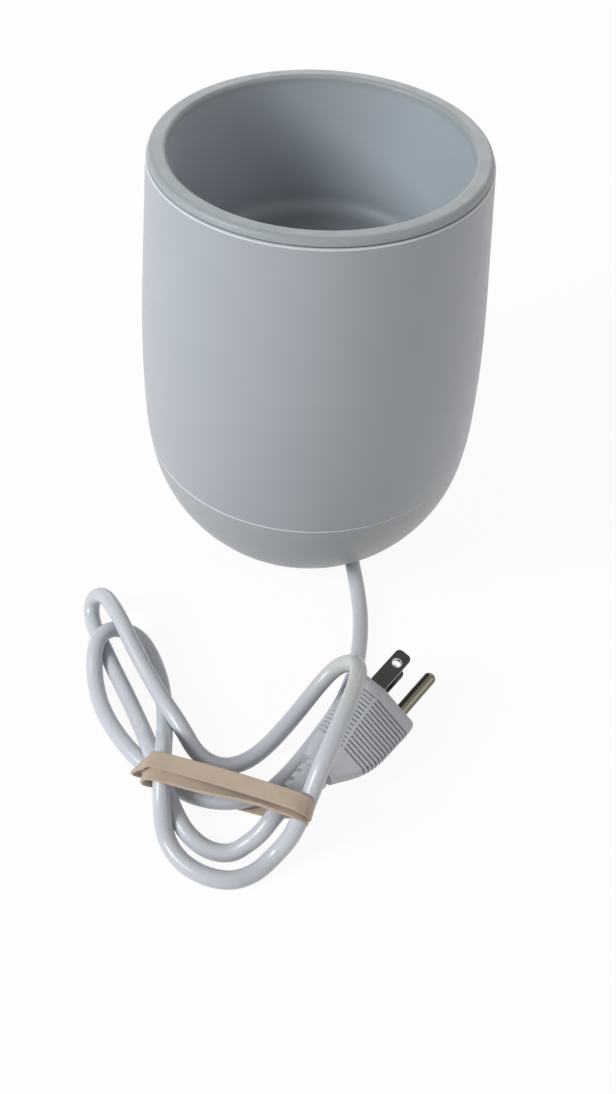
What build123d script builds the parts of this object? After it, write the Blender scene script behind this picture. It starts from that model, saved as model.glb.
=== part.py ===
from build123d import *
import math
import os

# Electric wax warmer pot with a lift-out cup, its mains lead tied up beside it.
# Millimetres. +Z is up, the origin is the centre of the resting plane.
# -Y is the side where the lead comes out, +Y the side of the control.

os.makedirs("parts", exist_ok=True)

# ---- outer form: a cone that rounds into a bowl ----
LIP_Z = 167.0               # top edge of the casing
WIDEST_R = 65.07            # largest radius of the body
WIDEST_Z = 65.4             # height of the largest radius
CONE_ANGLE = 5.43           # taper of the upper part, degrees from vertical
UPPER_ARC = 572.0           # arc between the cone and the widest place
WAIST_ARC = 140.0           # first arc below the widest place
WAIST_ANGLE = 7.55          # degrees from vertical where it ends
BOWL_ARC = 62.0             # arc of the bowl
BOWL_ANGLE = 58.8           # degrees from vertical where the flat bottom begins
WALL = 2.6                  # moulded wall
SEAM_Z = 52.0               # parting of casing and base cap
SEAM_GAP = 0.25
LOCATING_R = 61.65          # outside of the ring that centres the casing
SEAM_ROUND = 0.4            # eased outer edges at the seam and the lip

# ---- cup, well and what hangs under it ----
RIM_R = 57.3                # outer radius of the cup's rim
RIM_TOP_Z = 170.0
RIM_INNER_R = 51.3
CUP_FLOOR_Z = 120.0         # inside of the cup's floor
CUP_FLOOR_R = 45.0
CUP_WALL = 1.6
CUP_CLEARANCE = 0.6         # between cup and well
WELL_WALL = 1.4
COLLAR_R = 55.2             # bore of the casing's thick top ring
REBATE_R = 56.8             # step that the well's flange lies in
REBATE_Z = 165.2
FLANGE_T = 1.2
STUD_R = 2.5
HEATER_T = 3.0
PLATE_T = 1.5
PLATE_R = 43.0
NUT_T = 4.0
NUT_R = 4.6
BRIDGE_Z = 99.5             # underside of the retaining bridge
BRIDGE_T = 1.5
BRIDGE_REACH = 52.5         # bridge screw circle radius
BRIDGE_W = 16.0

# ---- levels that follow ----
CUP_UNDER_Z = CUP_FLOOR_Z - CUP_WALL - 0.2
WELL_FLOOR_Z = CUP_UNDER_Z - CUP_CLEARANCE
WELL_UNDER_Z = WELL_FLOOR_Z - WELL_WALL
FLANGE_Z = REBATE_Z + FLANGE_T
HEATER_Z = WELL_UNDER_Z - HEATER_T
PLATE_Z = HEATER_Z - PLATE_T

# ---- sensor, fuse and earth tag, under the pressure plate and the bridge ----
BULB_R, BULB_Y = 2.4, 20.0
FUSE_R, FUSE_Y = 2.0, -17.0
BULB_Z = PLATE_Z - BULB_R - 0.02
FUSE_Z = PLATE_Z - FUSE_R - 0.02
TAB_LOW = PLATE_Z - 8       # lower end of the element's tabs
TAB_X = 10.0
EARTH_X = -30.0

# ---- fixings of the base ----
BOSS_R = 4.5
TOWER_R = 6.0
TOWER_REACH = 44.0          # screw circle radius
TOWER_ANGLES = (-38.0, 82.0, 202.0)
FOOT_ANGLES = (-98.0, 22.0, 142.0)
FOOT_REACH = 27.0
FOOT_R = 8.0
FOOT_T = 3.0
SCREW_R = 1.5
SCREW_HEAD_R = 3.4

# ---- control ----
DIAL_Z = 84.0
DIAL_Y = 57.0               # plane that the dial plate lies on
POCKET_R = 21.0
DIAL_T = 0.8
KNOB_R = 13.5
KNOB_DEPTH = 10.4
KNOB_FLUTES = 18
SHAFT_R = 3.0
LAMP_Z = 113.0
LENS_R = 4.0
LENS_Y = 63.7               # back of the lens flange, on the casing
CASE_TOP = DIAL_Z + 16      # top of the thermostat's case
TAB_Y = DIAL_Y - 31.5       # ends of its tabs
THERMOSTAT_SCREWS = (-10, 10)

# ---- mains lead ----
CORD_D = 6.2
CHANNEL_START = Vector(15.0, -12.0, 0)
CHANNEL_ANGLE = -79.0       # direction of the channel under the base
CHANNEL_HALF = 5.2
BUSH_Z = 10.4
BUSH_END = 18.0             # how far the bush stands into the channel
BUSH_NECK_R = 4.2
BUSH_TIP_R = 3.6
CLAMP_AT = -15.0            # along the channel's line, inside the base
CLAMP_REACH = 8.3           # clamp posts, each side of the lead
CLAMP_Z = 12.0
SHEATH_END = -20.0
BLOCK_X, BLOCK_Y = -16.0, 17.0
BLOCK_Z = 10.0
BLOCK_IN, BLOCK_OUT = BLOCK_X + 14, BLOCK_X - 14
BLOCK_MID_Z = BLOCK_Z + 5.5
EARTH_Y, NEUTRAL_Y, LIVE_Y = 12, 17, 22
BLOCK_WAYS = (EARTH_Y, NEUTRAL_Y, LIVE_Y)
WIRE_R = 1.1

# ---- plug; its frame has X towards the earth pin, Y down and Z the way the blades point ----
PLUG_YAW = 52.4
PLUG_PITCH = 5.0
PLUG_ROLL = 11.3
BLADE_LINE = Vector(28.35, -108.55, 14.6)
BLADE_GAP = 12.7
BLADE_W = 6.35
BLADE_T = 1.5
BLADE_OUT = 17.4
BLADE_HOLE_AT = 12.0        # from the plug's face
PIN_OFFSET = 11.9
PIN_R = 2.38
PIN_OUT = 21.0
PIN_TIP = PIN_R * 0.92      # rounding of the pin's tip
SHANK_R = 1.9               # pin inside the moulding
ROOT = 6.0                  # depth of blades and pin in the moulding
# along Z: blade side, ridge, half height there, pin side, half height there
GRIP_SECTIONS = (
    (0.0, -7.8, 3.6, 9.9, 18.8, 3.2),
    (-8.0, -7.6, 3.4, 9.6, 19.0, 3.0),
    (-20.0, -6.3, 4.4, 8.4, 18.4, 2.8),
    (-28.0, -5.4, 6.0, 7.2, 16.0, 2.8),
    (-33.0, -4.4, 6.6, 6.6, 12.9, 3.0),
    (-37.0, -3.4, 6.8, 6.1, 10.2, 3.2),
)
GRIP_CORNERS = (3.6, 3.0, 2.4)  # rounding at the blade side, the ridge and the pin side
GRIP_FRONT = 2.2            # rounding round the face
GROOVE_START = -6.2
GROOVE_PITCH = 1.62
GROOVE_COUNT = 14
GROOVE_W = 0.75
GROOVE_DEPTH = 0.65
RIDGE_LAND = 0.5            # half width left uncut along each ridge
COLLAR_AT = 3.6             # middle of the collar and the boot, along X
BOOT_START, BOOT_END = -39.5, -56.0
BOOT_RISE = 4.5             # how far the boot's end stands above the plug's axis
BOOT_R, BOOT_END_R = 5.9, 4.3
BOOT_NOTCHES = 3
BOOT_NOTCH_PITCH = 4.2
BOOT_NOTCH_W = 1.7

# ---- rubber band: two turns side by side ----
BAND_W = 6.2
BAND_T = 1.1
BAND_TURNS = ((Vector(-22.0, -154.2, 0), -18.4), (Vector(-22.0, -158.0, 0), -16.2))  # middle, angle
BAND_ROLLS = (
    (-33.6, 4.8, 3.4), (-23.8, 16.7, 3.3), (28.2, 24.4, 3.5), (25.5, 13.5, 3.7), (13.0, 4.8, 3.4),
)

# ---- tied bundle ----
HANK_BOTTOM = 0.1
HANK_LOBE_H = 13.2
HANK_KNOT_H = 18.8
HANK_BOW_H = 12.8


def save(node, shape):
    """Write one sub-part to its own STEP file."""
    export_step(shape, f"parts/{node}.step")


def group(solids):
    """Identical pieces that share a node."""
    return Compound(children=list(solids))


def turned(corners, rounds=()):
    """Solid of revolution from (radius, height) corners; rounds holds ((radius, height), fillet)."""
    section = make_face(Polyline(*corners, close=True))
    for place, size in rounds:
        corner = section.vertices().sort_by_distance((*place, 0))[0]
        section = fillet(corner, size)
    return revolve(Plane.XZ * section, Axis.Z)


def ring(inner, outer, low, high):
    """Plain ring about Z, or a disc when inner is 0."""
    section = Circle(outer) - Circle(inner) if inner else Circle(outer)
    return Pos(0, 0, low) * extrude(section, high - low)


def rod(radius, start, end):
    """Round bar between two points."""
    start, end = Vector(*start), Vector(*end)
    return extrude(Plane(origin=start, z_dir=end - start) * Circle(radius), (end - start).length)


def block(low, high):
    """Box between two opposite corners."""
    size = [b - a for a, b in zip(low, high)]
    centre = [(a + b) / 2 for a, b in zip(low, high)]
    return Pos(*centre) * Box(*size)


def around(angles, reach):
    """Locations on a circle about Z, each with its X pointing outwards."""
    return [Rot(0, 0, angle) * Pos(reach, 0, 0) for angle in angles]


def arc_step(point, radius, start, end):
    """Middle and end of an arc that leans from one angle to another, degrees from vertical, going down."""
    def at(angle):
        a, b = math.radians(start), math.radians(angle)
        return (point[0] - radius * (math.cos(a) - math.cos(b)),
                point[1] - radius * (math.sin(b) - math.sin(a)))
    return at((start + end) / 2), at(end)


def body_form(inset):
    """The whole body as a solid of revolution, its wall moved inwards by inset."""
    widest = (WIDEST_R - inset, WIDEST_Z)
    cone_mid, cone_low = arc_step(widest, UPPER_ARC - inset, 0, -CONE_ANGLE)
    lip = (cone_low[0] - (LIP_Z - cone_low[1]) * math.tan(math.radians(CONE_ANGLE)), LIP_Z)
    waist_mid, waist = arc_step(widest, WAIST_ARC - inset, 0, WAIST_ANGLE)
    bowl_mid, bowl = arc_step(waist, BOWL_ARC - inset, WAIST_ANGLE, BOWL_ANGLE)
    edges = [
        Line((0, LIP_Z), lip),
        Line(lip, cone_low),
        ThreePointArc(cone_low, cone_mid, widest),
        ThreePointArc(widest, waist_mid, waist),
        ThreePointArc(waist, bowl_mid, bowl),
        Line(bowl, (0, bowl[1])),
        Line((0, bowl[1]), (0, LIP_Z)),
    ]
    return revolve(Plane.XZ * make_face(edges), Axis.Z)


def ease(shell, height):
    """Round the outermost circular edge at a height."""
    low, high = height - 0.01, height + 0.01
    level = shell.edges().filter_by_position(Axis.Z, low, high)
    outermost = max(level, key=lambda edge: edge.bounding_box().diagonal)
    return fillet(outermost, SEAM_ROUND)


def above(height):
    return Pos(0, 0, height) * Box(300, 300, 400, align=(Align.CENTER, Align.CENTER, Align.MIN))


def below(height):
    return Pos(0, 0, height) * Box(300, 300, 400, align=(Align.CENTER, Align.CENTER, Align.MAX))


OUTER = body_form(0)
INNER = body_form(WALL)
MID_WALL = body_form(1.0)


def inner_pot():
    """Lift-out cup: tapered wall, rounded floor corner and a broad rolled rim that laps the casing."""
    rim_under = LIP_Z + 0.3
    corners = [
        (0, CUP_UNDER_Z), (CUP_FLOOR_R + CUP_WALL, CUP_UNDER_Z), (RIM_INNER_R + CUP_WALL, FLANGE_Z + 0.3),
        (REBATE_R - 0.7, FLANGE_Z + 0.3), (REBATE_R - 0.7, rim_under), (RIM_R, rim_under),
        (RIM_R, RIM_TOP_Z), (RIM_INNER_R, RIM_TOP_Z), (CUP_FLOOR_R, CUP_FLOOR_Z), (0, CUP_FLOOR_Z),
    ]
    rounds = [
        (corners[1], 8.6), (corners[5], 0.4), (corners[6], 1.9), (corners[7], 1.5), (corners[8], 7.0),
    ]
    return turned(corners, rounds)


def heater_well():
    """Pressed aluminium cup that the pot sits in, with a flange on top and a stud under its floor."""
    gap, wall = CUP_CLEARANCE, WELL_WALL
    slope = (RIM_INNER_R - CUP_FLOOR_R) / (RIM_TOP_Z - CUP_FLOOR_Z)
    bottom_r = CUP_FLOOR_R + CUP_WALL + gap
    top_r = bottom_r + slope * (FLANGE_Z - WELL_FLOOR_Z)
    corners = [
        (0, WELL_UNDER_Z), (bottom_r + wall, WELL_UNDER_Z), (top_r + wall - 0.3, REBATE_Z),
        (REBATE_R - 0.2, REBATE_Z), (REBATE_R - 0.2, FLANGE_Z), (top_r, FLANGE_Z),
        (bottom_r, WELL_FLOOR_Z), (0, WELL_FLOOR_Z),
    ]
    cup = turned(corners, [(corners[1], 9.5), (corners[6], 8.2)])
    stud = rod(STUD_R, (0, 0, BRIDGE_Z - NUT_T - 3), (0, 0, WELL_UNDER_Z + 0.5))
    return cup + stud


def heater_disc():
    """Mica-covered heating element with two spade tabs that point down."""
    disc = ring(STUD_R + 1.5, PLATE_R - 3, HEATER_Z, WELL_UNDER_Z)
    tabs = [block((x - 3.2, -30.4, PLATE_Z - 8), (x + 3.2, -29.6, HEATER_Z + 0.5)) for x in (-TAB_X, TAB_X)]
    return disc + tabs


def pressure_plate():
    """Steel dish that presses the element against the well, slotted for the element's tabs."""
    plate = ring(STUD_R + 0.3, PLATE_R, PLATE_Z, HEATER_Z)
    skirt = ring(PLATE_R - 1.2, PLATE_R, PLATE_Z - 4, PLATE_Z)
    slots = [block((x - 4.5, -32, PLATE_Z - 1), (x + 4.5, -28, HEATER_Z + 1)) for x in (-TAB_X, TAB_X)]
    return plate + skirt - slots


def hex_nut(low):
    """Nut on the well's stud."""
    prism = Pos(0, 0, low) * extrude(RegularPolygon(NUT_R, 6), NUT_T)
    return prism - rod(STUD_R + 0.02, (0, 0, low - 1), (0, 0, low + NUT_T + 1))


def stud_nuts():
    return group([hex_nut(PLATE_Z - NUT_T), hex_nut(BRIDGE_Z - NUT_T)])


def stud_spacer():
    """Tube between the upper nut and the bridge."""
    return ring(STUD_R + 0.3, 4.0, BRIDGE_Z + BRIDGE_T, PLATE_Z - NUT_T)


def retaining_bridge():
    """Steel strap that pulls the well down onto the casing."""
    strap = extrude(SlotCenterToCenter(2 * BRIDGE_REACH, BRIDGE_W), BRIDGE_T)
    hole = extrude(Circle(STUD_R + 0.3), BRIDGE_T)
    ends = [Pos(x, 0, 0) * extrude(Circle(SCREW_R + 0.3), BRIDGE_T) for x in (-BRIDGE_REACH, BRIDGE_REACH)]
    return Pos(0, 0, BRIDGE_Z) * (strap - hole - ends)


def screw(head_z, length):
    """Pan-head screw with its head below and its shank up, about Z."""
    head = Pos(0, 0, head_z) * extrude(Circle(SCREW_HEAD_R), 2.2)
    slot = block((-0.5, -2.2, head_z - 1), (0.5, 2.2, head_z + 1))
    slot += Rot(0, 0, 90) * slot
    return head - slot + rod(SCREW_R, (0, 0, head_z + 2), (0, 0, head_z + 2.2 + length))


def bridge_screws():
    return group([Pos(x, 0, 0) * screw(BRIDGE_Z - 2.2, 9) for x in (-BRIDGE_REACH, BRIDGE_REACH)])


def casing():
    """Upper shell with its thick top ring, bridge bosses, screw bosses and the pocket of the dial."""
    shell = (OUTER & above(SEAM_Z + SEAM_GAP)) - (INNER & below(158))
    shell -= ring(0, COLLAR_R, 150, LIP_Z + 1)
    shell -= ring(0, REBATE_R, REBATE_Z, LIP_Z + 1)
    shell = ease(shell, SEAM_Z + SEAM_GAP)
    shell = ease(shell, LIP_Z)
    ribs = []
    for x in (-1, 1):
        post = Pos(x * BRIDGE_REACH, 0, BRIDGE_Z + BRIDGE_T) * extrude(Circle(BOSS_R), 14)
        web = block((BRIDGE_REACH, -2, BRIDGE_Z + BRIDGE_T), (WIDEST_R, 2, BRIDGE_Z + BRIDGE_T + 14))
        ribs += [post, Rot(0, 0, 0 if x > 0 else 180) * web]
    for angle in TOWER_ANGLES:
        post = Pos(TOWER_REACH, 0, SEAM_Z) * extrude(Circle(BOSS_R), 14)
        web = block((TOWER_REACH, -1.5, SEAM_Z + 6), (WIDEST_R, 1.5, SEAM_Z + 14))
        ribs += [Rot(0, 0, angle) * post, Rot(0, 0, angle) * web]
    pad = rod(POCKET_R + 1.5, (0, DIAL_Y - 4.5, DIAL_Z), (0, WIDEST_R, DIAL_Z))
    shell += [rib & MID_WALL for rib in ribs + [pad]]
    shell -= rod(POCKET_R, (0, DIAL_Y, DIAL_Z), (0, WIDEST_R + 5, DIAL_Z))
    shell -= rod(5.2, (0, DIAL_Y - 6, DIAL_Z), (0, DIAL_Y + 1, DIAL_Z))
    for x in THERMOSTAT_SCREWS:
        shell -= rod(2.0, (x, DIAL_Y - 6, DIAL_Z), (x, DIAL_Y + 1, DIAL_Z))
        shell -= rod(3.6, (x, DIAL_Y - 2.4, DIAL_Z), (x, DIAL_Y + 1, DIAL_Z))
    shell -= rod(LENS_R + 0.1, (0, 50, LAMP_Z), (0, WIDEST_R + 5, LAMP_Z))
    for x in (-BRIDGE_REACH, BRIDGE_REACH):
        shell -= rod(SCREW_R, (x, 0, BRIDGE_Z), (x, 0, BRIDGE_Z + 12))
    for place in around(TOWER_ANGLES, TOWER_REACH):
        shell -= place * rod(SCREW_R, (0, 0, SEAM_Z - 1), (0, 0, SEAM_Z + 11))
    return shell


def channel_form(grow, reach):
    """Space under the base that the lead leaves through, widened by grow."""
    profile = Polyline(
        (-grow, -3), (-grow, 16.5 + grow), (14, 16.5 + grow),
        (36, 11 + grow), (reach, 11 + grow), (reach, -3),
        close=True)
    side = Plane(origin=(0, 0, 0), x_dir=(1, 0, 0), z_dir=(0, -1, 0)) * make_face(profile)
    solid = extrude(side, CHANNEL_HALF + grow, both=True)
    return Pos(*CHANNEL_START) * Rot(0, 0, CHANNEL_ANGLE) * solid


def along_channel(distance, height):
    """Point on the channel's middle plane."""
    a = math.radians(CHANNEL_ANGLE)
    return CHANNEL_START + Vector(distance * math.cos(a), distance * math.sin(a), height)


def across_channel(distance, side, height):
    """Point beside the channel's line."""
    a = math.radians(CHANNEL_ANGLE)
    return along_channel(distance, height) + Vector(-side * math.sin(a), side * math.cos(a), 0)


def base_cap():
    """Bowl that closes the casing: locating ring, screw towers, foot recesses, the lead's channel."""
    lower = below(SEAM_Z)
    shell = ease((OUTER & lower) - (INNER & lower), SEAM_Z)
    shell += ring(LOCATING_R - 1.6, LOCATING_R, SEAM_Z - 7, SEAM_Z + 4.5)
    inside = [place * (Pos(0, 0, 3) * extrude(Circle(TOWER_R), SEAM_Z - 3 - 0.2))
              for place in around(TOWER_ANGLES, TOWER_REACH)]
    inside += [place * (Pos(0, 0, 2) * extrude(Circle(FOOT_R + 2), 4))
               for place in around(FOOT_ANGLES, FOOT_REACH)]
    inside += [channel_form(2.2, 60)]
    posts = [across_channel(CLAMP_AT, side * CLAMP_REACH, 0) for side in (-1, 1)]
    inside += [Pos(*post) * Pos(0, 0, 2) * extrude(Circle(3.2), CLAMP_Z - 2) for post in posts]
    rest = block((-2, -5, 2), (2, 5, BUSH_Z - 1.6))
    inside += [Pos(*along_channel(CLAMP_AT, 0)) * Rot(0, 0, CHANNEL_ANGLE) * rest]
    inside += [Pos(BLOCK_X, BLOCK_Y, 2) * extrude(Circle(4), BLOCK_Z - 2)]
    shell += [piece & MID_WALL for piece in inside]
    shell -= channel_form(0, 80)
    shell -= rod(BUSH_NECK_R + 0.1, along_channel(-6, BUSH_Z), along_channel(1, BUSH_Z))
    for place in around(TOWER_ANGLES, TOWER_REACH):
        shell -= place * rod(SCREW_R + 0.2, (0, 0, 0), (0, 0, SEAM_Z + 1))
        shell -= place * rod(SCREW_HEAD_R + 0.6, (0, 0, -1), (0, 0, SEAM_Z - 12))
    for place in around(FOOT_ANGLES, FOOT_REACH):
        shell -= place * rod(FOOT_R + 0.1, (0, 0, 0), (0, 0, FOOT_T))
    shell -= rod(CORD_D / 2, along_channel(CLAMP_AT - 3, BUSH_Z), along_channel(CLAMP_AT + 3, BUSH_Z))
    for x, y, _ in posts:
        shell -= rod(SCREW_R, (x, y, CLAMP_Z - 7), (x, y, CLAMP_Z + 1))
    shell -= rod(SCREW_R, (BLOCK_X, BLOCK_Y, 4.6), (BLOCK_X, BLOCK_Y, BLOCK_Z + 1))
    return shell


def base_screws():
    return group([place * screw(SEAM_Z - 12 - 2.2, 22) for place in around(TOWER_ANGLES, TOWER_REACH)])


def rubber_feet():
    """Round pads with a soft lower edge."""
    pad = fillet(extrude(Circle(FOOT_R), FOOT_T).edges().sort_by(Axis.Z)[0], 0.7)
    return group([place * pad for place in around(FOOT_ANGLES, FOOT_REACH)])


def thermostat_body():
    """Capillary thermostat: square case with a threaded nose in the casing's hole."""
    back, front = DIAL_Y - 24.5, DIAL_Y - 4.5
    case = block((-16, back, DIAL_Z - 16), (16, front, DIAL_Z + 16))
    case = fillet(case.edges().filter_by(Axis.Y), 2.5)
    nose = rod(5.0, (0, front - 1, DIAL_Z), (0, DIAL_Y - 0.6, DIAL_Z))
    tabs = [block((x - 2.4, back - 7, DIAL_Z - 0.4), (x + 2.4, back + 1, DIAL_Z + 0.4)) for x in (-8, 8)]
    case = case + nose + tabs
    case -= rod(SHAFT_R + 0.05, (0, front - 6, DIAL_Z), (0, DIAL_Y + 2, DIAL_Z))
    for x in THERMOSTAT_SCREWS:
        case -= rod(1.6, (x, front - 8, DIAL_Z), (x, front + 1, DIAL_Z))
    return case


def thermostat_screws():
    """Countersunk into the pad, under the dial plate."""
    def one(x):
        head = rod(3.2, (x, DIAL_Y - 2.4, DIAL_Z), (x, DIAL_Y - 0.6, DIAL_Z))
        return head + rod(1.6, (x, DIAL_Y - 11, DIAL_Z), (x, DIAL_Y - 2.4, DIAL_Z))
    return group([one(x) for x in THERMOSTAT_SCREWS])


def thermostat_shaft():
    """Turning shaft with a flat for the knob."""
    start, end = DIAL_Y - 10.2, DIAL_Y + KNOB_DEPTH - 3
    shaft = rod(SHAFT_R, (0, start, DIAL_Z), (0, end, DIAL_Z))
    return shaft - block((-4, DIAL_Y + 2, DIAL_Z + 1.6), (4, end + 1, DIAL_Z + 4))


def dial_plate():
    return rod(POCKET_R - 0.2, (0, DIAL_Y, DIAL_Z), (0, DIAL_Y + DIAL_T, DIAL_Z)) - rod(
        4.0, (0, DIAL_Y - 1, DIAL_Z), (0, DIAL_Y + 2, DIAL_Z))


def knob():
    """Hollow-backed knob: flared skirt, grip flutes, a pointer line and a socket with a flat."""
    low = DIAL_T + 0.5
    corners = [(0, low), (KNOB_R, low), (KNOB_R, low + 2.2), (KNOB_R - 1.6, low + 3.2),
               (KNOB_R - 2.4, KNOB_DEPTH), (0, KNOB_DEPTH)]
    form = turned(corners, [(corners[4], 1.6), (corners[2], 0.6)])
    hollow = ring(5.2, KNOB_R - 4.6, low - 1, KNOB_DEPTH - 2.4)
    form -= hollow
    for index in range(KNOB_FLUTES):
        flute = Pos(KNOB_R - 0.6, 0, low + 3.0) * extrude(Circle(1.1), KNOB_DEPTH)
        form -= Rot(0, 0, index * 360 / KNOB_FLUTES) * flute
    pointer = block((-0.6, 3, KNOB_DEPTH - 0.5), (0.6, KNOB_R, KNOB_DEPTH + 1))
    socket = Pos(0, 0, low - 1) * extrude(Circle(SHAFT_R + 0.02), KNOB_DEPTH - 3 - low + 1)
    key = block((-4, 1.62, 2), (4, 4, KNOB_DEPTH))
    form = form - pointer - (socket - key)
    return Pos(0, DIAL_Y, DIAL_Z) * Rot(-90, 0, 0) * Rot(0, 0, 180) * form


def indicator_lens():
    """Domed lens with a flange that sits on the casing's curve."""
    stem = rod(LENS_R, (0, LENS_Y - 5.6, LAMP_Z), (0, LENS_Y, LAMP_Z))
    flange_r = LENS_R + 1.2
    dome = Pos(0, LENS_Y + 1.6 - 9, LAMP_Z) * Sphere(9)
    dome &= rod(flange_r, (0, LENS_Y, LAMP_Z), (0, LENS_Y + 3, LAMP_Z))
    return stem + dome - rod(2.55, (0, LENS_Y - 7, LAMP_Z), (0, LENS_Y - 1.2, LAMP_Z))


def lens_nut():
    """Push-on ring that holds the lens from inside."""
    return rod(6.2, (0, LENS_Y - 5.4, LAMP_Z), (0, LENS_Y - 4.1, LAMP_Z)) - rod(
        LENS_R, (0, LENS_Y - 7, LAMP_Z), (0, LENS_Y - 2, LAMP_Z))


def neon_lamp():
    bulb = rod(2.5, (0, 50, LAMP_Z), (0, LENS_Y - 1.8, LAMP_Z))
    return fillet(bulb.edges().sort_by(Axis.Y)[-1], 1.6)


# ---- under the well ----

def clip_over(x, y, axis_z, radius):
    """Sheet saddle that holds a round body, lying along X, under the pressure plate."""
    strap = rod(radius + 0.9, (x - 4, y, axis_z), (x + 4, y, axis_z))
    strap -= rod(radius + 0.02, (x - 5, y, axis_z), (x + 5, y, axis_z))
    strap &= below(PLATE_Z - 0.8)
    ears = [block((x - 4, y + a, PLATE_Z - 0.8), (x + 4, y + b, PLATE_Z))
            for a, b in ((-radius - 5, -radius), (radius, radius + 5))]
    return strap + ears


def round_path(points):
    """Straight runs joined by arcs, each as large as its two runs allow."""
    points = [Vector(*point) for point in points]
    radii = []
    for before, here, after in zip(points, points[1:], points[2:]):
        one, two = here - before, after - here
        half_turn = math.radians(one.get_angle(two)) / 2
        radii.append(0.45 * min(one.length, two.length) / math.tan(half_turn))
    return FilletPolyline(*points, radius=radii), radii


def tube(points, radius):
    """Round tube along a route."""
    path, _ = round_path(points)
    return sweep(Plane(origin=path @ 0, z_dir=path % 0) * Circle(radius), path=path)


def sensing_bulb():
    """Copper bulb and the thin tube that runs to the thermostat."""
    bulb = rod(BULB_R, (-24, BULB_Y, BULB_Z), (14, BULB_Y, BULB_Z))
    route = [(14, BULB_Y, BULB_Z), (21, BULB_Y, BULB_Z), (26, BULB_Y + 6, BULB_Z - 2),
             (25, BULB_Y + 16, BULB_Z - 3), (18, BULB_Y + 23, BULB_Z - 2), (12, BULB_Y + 24.5, BULB_Z - 1),
             (9.5, BULB_Y + 24, BULB_Z - 3.5), (9.5, BULB_Y + 24, CASE_TOP)]
    return bulb + tube(route, 0.9)


def bulb_clip():
    return clip_over(-6, BULB_Y, BULB_Z, BULB_R)


def thermal_fuse():
    return rod(FUSE_R, (-7, FUSE_Y, FUSE_Z), (7, FUSE_Y, FUSE_Z))


def fuse_clip():
    return clip_over(0, FUSE_Y, FUSE_Z, FUSE_R)


def earth_tag():
    """Ring tag of the earth wire, under the bridge."""
    return Pos(EARTH_X, 0, BRIDGE_Z - 0.8) * extrude(Circle(3.6), 0.8)


def live_wires():
    """Supply to the thermostat, and on through the fuse to the element."""
    feed = [across_channel(SHEATH_END, 1.6, BUSH_Z + 0.8), across_channel(SHEATH_END - 6, 1.6, BUSH_Z + 0.8),
            (7.5, 20.5, 14), (BLOCK_IN + 4.5, LIVE_Y, BLOCK_MID_Z), (BLOCK_IN, LIVE_Y, BLOCK_MID_Z)]
    rise = [(BLOCK_OUT, LIVE_Y, BLOCK_MID_Z), (BLOCK_OUT - 5, LIVE_Y, BLOCK_MID_Z), (-39, 21.5, 23),
            (-38.5, 21, 38), (-29, 19, 60), (-15, 15, 78), (-8, 18, DIAL_Z), (-8, TAB_Y, DIAL_Z)]
    back = [(8, TAB_Y, DIAL_Z), (8, 20, DIAL_Z), (9, 10, 81.5), (10, -2, 83), (13, -13, 90),
            (17, -18, 100), (17, FUSE_Y, FUSE_Z - 2), (13, FUSE_Y, FUSE_Z), (7, FUSE_Y, FUSE_Z)]
    last = [(-7, FUSE_Y, FUSE_Z), (-13, FUSE_Y, FUSE_Z), (-17, -20, 104), (-15, -26, 97.5),
            (-TAB_X, -30, 97), (-TAB_X, -30, TAB_LOW)]
    return group([tube(route, WIRE_R) for route in (feed, rise, back, last)])


def neutral_wires():
    """Supply straight to the element's other tab."""
    feed = [across_channel(SHEATH_END, -1.6, BUSH_Z + 0.8),
            across_channel(SHEATH_END - 4.5, -1.6, BUSH_Z + 0.8),
            (6, 15.5, 13.6), (BLOCK_IN + 4, NEUTRAL_Y, BLOCK_MID_Z), (BLOCK_IN, NEUTRAL_Y, BLOCK_MID_Z)]
    rise = [(BLOCK_OUT, NEUTRAL_Y, BLOCK_MID_Z), (BLOCK_OUT - 5, NEUTRAL_Y, BLOCK_MID_Z), (-39.5, 14, 21),
            (-40, 5, 36), (-28, -12, 60), (-6, -26, 80), (TAB_X, -30, 93), (TAB_X, -30, TAB_LOW)]
    return group([tube(route, WIRE_R) for route in (feed, rise)])


def earth_wire():
    """Supply to the tag on the bridge."""
    feed = [across_channel(SHEATH_END, 0, BUSH_Z - 1.7), across_channel(SHEATH_END - 4, 0, BUSH_Z - 1.7),
            (6.5, 13.0, 9.6), (BLOCK_IN + 4.5, EARTH_Y, BLOCK_MID_Z), (BLOCK_IN, EARTH_Y, BLOCK_MID_Z)]
    rise = [(BLOCK_OUT, EARTH_Y, BLOCK_MID_Z), (BLOCK_OUT - 5, EARTH_Y, BLOCK_MID_Z), (-40, 7, 21),
            (-43.5, -1, 36), (-41, -2, 60), (-32, -1, 80), (EARTH_X, 0, 90), (EARTH_X, 0, BRIDGE_Z - 0.8)]
    return group([tube(route, WIRE_R) for route in (feed, rise)])


def lamp_wires():
    """From the lamp down to the thermostat's case."""
    routes = [[(side * 1.3, 50, LAMP_Z), (side * 1.3, 46, LAMP_Z), (side * 4.5, 43.5, LAMP_Z - 5),
               (side * 4.5, 43.5, CASE_TOP)] for side in (-1, 1)]
    return group([tube(route, 0.7) for route in routes])


# ---- supply end ----

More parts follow.
